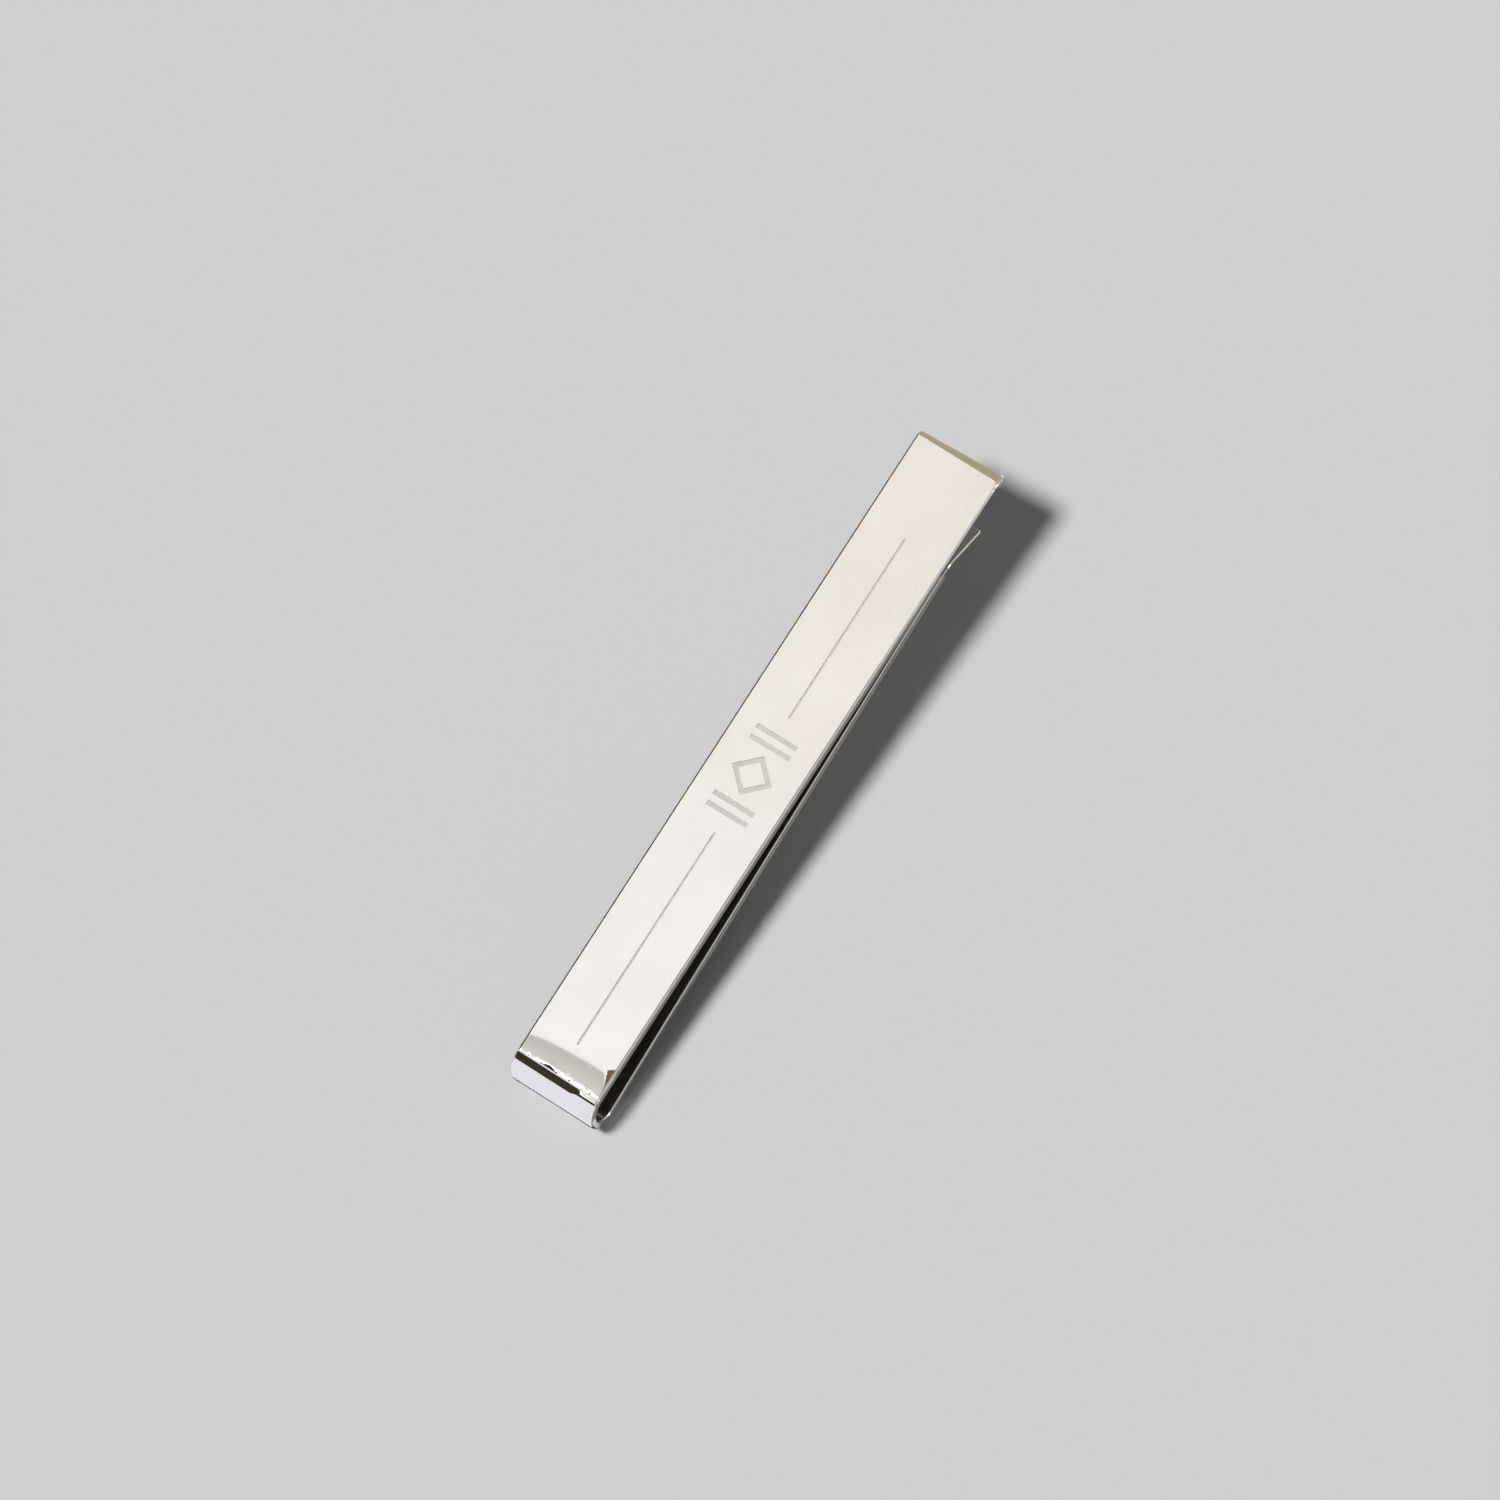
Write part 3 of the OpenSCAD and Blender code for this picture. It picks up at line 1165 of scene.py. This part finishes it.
def mirrored_x(x, tilt=0.0):
    """How far along the ceiling the face looks from x, where it is tilted by degrees to -X."""
    spot = Vector((x, 0, face_z))
    to_camera = (camera_place - spot).normalized()
    tilt = math.radians(tilt)
    normal = Vector((-math.sin(tilt), 0, math.cos(tilt)))
    bounced = 2 * normal.dot(to_camera) * normal - to_camera
    return (spot + bounced * ((ceiling_z - face_z) / bounced.z)).x


white_start = mirrored_x(fold_x, tilt=0.45)
grey_start = mirrored_x(fold_x, tilt=3.4)
bright_start = mirrored_x(fold_x, tilt=4.12)
black_start = mirrored_x(fold_x, tilt=22)
brown_end = mirrored_x(9.72 * mm)
white_end = 0.34
tell("the ceiling cards start at", black_start, bright_start, grey_start, white_start)

# %% Hang the ceiling cards
white_y = (0.08, 0.27)
brown_y = (-0.02, 0.08)
near_y = (-0.30, -0.02)
dark_y = (0.27, 0.85)
neutral_white = (1.065, 1.045, 1.04, 1)
warm_white = (0.975, 0.928, 0.862, 1)
bright_white = (1, 1, 0.98, 1)
light_grey = (0.73, 0.71, 0.675, 1)
dark_grey = (0.585, 0.575, 0.54, 1)
dull_grey = (0.50, 0.48, 0.42, 1)
soft_black = (0.045, 0.038, 0.024, 1)
brown = (0.20, 0.12, 0.095, 1)
beige = (0.75, 0.72, 0.64, 1)


def make_card(name, corners, colour, strength=1.0, run=None):
    """A card that only reflections see. A run is a second colour and where it starts and ends."""
    card = mesh_object(name, corners, [(0, 1, 2, 3)])
    material, tree, glow = new_material(name, "ShaderNodeEmission")
    glow.inputs["Strength"].default_value = strength
    glow.inputs["Color"].default_value = colour
    if run:
        second, start_x, end_x = run
        place = add_node(tree, "ShaderNodeTexCoord").outputs["Object"]
        x = add_node(tree, "ShaderNodeSeparateXYZ", {0: place}).outputs["X"]
        share = ramp_node(tree, x, start_x, end_x)
        tree.links.new(mix_colours(tree, share, colour, second), glow.inputs["Color"])
    card.data.materials.append(material)
    card.visible_camera = False
    card.visible_diffuse = False
    card.visible_shadow = False
    card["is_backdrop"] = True


def ceiling_card(name, reach_x, reach_y, colour, **more):
    """A level card over the clip."""
    make_card(name, [(x, y, ceiling_z) for x, y in rectangle(reach_x, reach_y)], colour, **more)


ceiling_card("white_card", (white_start, white_end), white_y, neutral_white,
             run=(warm_white, mirrored_x(bend_end_x), mirrored_x(free_end_x)))
ceiling_card("grey_card", (grey_start, white_start), white_y, light_grey,
             run=(dark_grey, grey_start, white_start))
ceiling_card("bright_card", (bright_start, grey_start), white_y, bright_white, strength=3.5)
ceiling_card("black_card", (black_start, bright_start), white_y, soft_black)
ceiling_card("brown_card", (black_start, brown_end), brown_y, brown)
ceiling_card("beige_card", (brown_end, white_end), brown_y, beige)
ceiling_card("near_card", (black_start, white_end), near_y, dull_grey)
ceiling_card("far_dark_card", (black_start, white_end), dark_y, soft_black)

# %% Stand cards round the clip
side_white = (0.89, 0.89, 0.95, 1)
tan = (0.44, 0.386, 0.268, 1)
side_x = black_start - 0.02
tan_x = 0.5
far_y = 0.8


def standing_card(name, x, reach_y, reach_z, colour):
    """An upright card across the X axis."""
    make_card(name, [(x, y, z) for y, z in rectangle(reach_y, reach_z)], colour)


standing_card("side_card", side_x, reach_y=(-0.35, 0.7), reach_z=(-0.02, 0.7), colour=side_white)
standing_card("tan_card", tan_x, reach_y=(-0.05, 0.6), reach_z=(0.08, 0.62), colour=tan)
far_corners = rectangle((black_start, white_end), (0, ceiling_z))
make_card("far_card", [(x, far_y, z) for x, z in far_corners], soft_black)

# %% Lay cards on the floor beside the clip
card_lift = 0.5 * mm
contact_lift = card_lift / 2
clear = 0.9 * mm
contact_x = bend_end_x + 0.3 * mm
lip_floor_x = free_end_x - ridge_setback
past_end_x = free_end_x + 0.06
before_bend_y = (-0.2, 0.3)
near_floor_y = (-0.03, -half_width - clear)
far_floor_y = (half_width + clear, 0.3)
end_floor_y = (-0.01, 0.3)
# A dark sheet where the bend touches the floor, mirrored as a painted contact shadow.
painted_contact_shadow = (0.07, 0.07, 0.065, 1)
near_dark = (0.20, 0.19, 0.17, 1)
# A dark sheet beside the lip, mirrored as painted shadow on the floor there.
painted_lip_shadow = (0.11, 0.105, 0.09, 1)
# A dark grey sheet past the free end, mirrored in the lip as painted shadow.
painted_end_shadow = (0.30, 0.29, 0.26, 1)


def low_card(name, reach_x, reach_y, colour, lift=card_lift):
    """A card just over the falling floor, which only the clip's sides and underside see."""
    corners = [(x, y, lift - (x - bend_end_x) * floor_slope)
               for x, y in rectangle(reach_x, reach_y)]
    make_card(name, corners, colour)


low_card("bend_floor_card", (side_x, bend_end_x - clear), before_bend_y, side_white)
# Painted contact shadow: a dark card under the bend for the metal to mirror.
low_card("painted_contact_shadow_card", (bend_end_x - clear, contact_x), before_bend_y, painted_contact_shadow,
         contact_lift)
low_card("near_floor_card", (bend_end_x, lip_floor_x), near_floor_y, near_dark)
# Painted shadow: a dark card beside the lip for its side to mirror.
low_card("painted_lip_shadow_card", (lip_floor_x, free_end_x), near_floor_y, painted_lip_shadow)
low_card("far_floor_card", (bend_end_x, free_end_x), far_floor_y, soft_black)
# Painted shadow: a dark grey card past the free end for the lip to mirror.
low_card("painted_end_shadow_card", (free_end_x, past_end_x), end_floor_y, painted_end_shadow)

# %% [markdown]
# ## Lamps and surroundings
# One broad lamp stands high behind the clip and throws its soft shadow to the near side. The rest
# of the light comes from a room that is dim overhead and brighter near the horizon. To the camera
# and in the metal the room looks as pale as the floor. Two small bright cards, one low on the near
# side and one past the free end, put a glint on each place that is rounded both ways: the kink's
# edge, the bottom of the bend and the free end's corner.

# %% Light the scene
lamp_direction = Vector((-0.12, 0.25, 0.96))
lamp = add_object("key_lamp", bpy.data.lights.new("key_lamp", "SUN"))
lamp.data.energy = 2.9
lamp.data.angle = math.radians(14)
lamp.rotation_mode = "QUATERNION"
lamp.rotation_quaternion = lamp_direction.to_track_quat("Z", "Y")
lamp.visible_glossy = False

glint_distance = 0.5
glint_strength = 12
glint_white = (1, 1, 1, 1)


def glint_card(name, toward, size):
    """A small bright card that faces the clip from a direction."""
    toward = Vector(toward).normalized()
    turned = toward.to_track_quat("Z", "Y")
    reach = (-size / 2, size / 2)
    corners = [toward * glint_distance + turned @ Vector((x, y, 0))
               for x, y in rectangle(reach, reach)]
    make_card(name, corners, glint_white, glint_strength)


glint_card("near_glint_card", (0.34, -0.87, 0.36), size=0.14)
glint_card("end_glint_card", (0.97, 0.10, 0.20), size=0.11)

# %% Light the room
room_tones = ((0.0, 0.45), (0.10, 0.35), (0.30, 0.20), (0.60, 0.13), (1.0, 0.12))


def light_the_room():
    """A world that lights dimly from overhead, and that looks pale to the eye and in metal."""
    world = bpy.data.worlds.new("room")
    bpy.context.scene.world = world
    world.use_nodes = True
    tree = world.node_tree
    tree.nodes.clear()
    sky = add_node(tree, "ShaderNodeTexCoord").outputs["Generated"]
    height = add_node(tree, "ShaderNodeSeparateXYZ", {0: sky}).outputs["Z"]
    ramp = add_node(tree, "ShaderNodeValToRGB", {"Fac": height})
    for place, _ in room_tones[1:-1]:
        ramp.color_ramp.elements.new(place)
    for element, (place, tone) in zip(ramp.color_ramp.elements, room_tones):
        element.position = place
        element.color = (tone, tone, tone, 1)
    rays = add_node(tree, "ShaderNodeLightPath").outputs
    seen = math_node(tree, "MAXIMUM", rays["Is Camera Ray"], rays["Is Glossy Ray"])
    seen = math_node(tree, "MAXIMUM", seen, rays["Is Transmission Ray"])
    colour = mix_colours(tree, seen, ramp.outputs["Color"], pale_tone)
    background = add_node(tree, "ShaderNodeBackground", {"Color": colour, "Strength": 1.0})
    add_node(tree, "ShaderNodeOutputWorld", {"Surface": background.outputs[0]})


light_the_room()
bpy.context.scene.view_settings.view_transform = "Standard"
print("the room's tones from the horizon up:", [tone for _, tone in room_tones])

# %% [markdown]
# ## The visual model's box
# The CAD model's box is printed at the start, and the visual model's box is printed here.

# %% Print the visual model's box
visual_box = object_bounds()
tell("the visual model's box:", *visual_box[0], *visual_box[1])
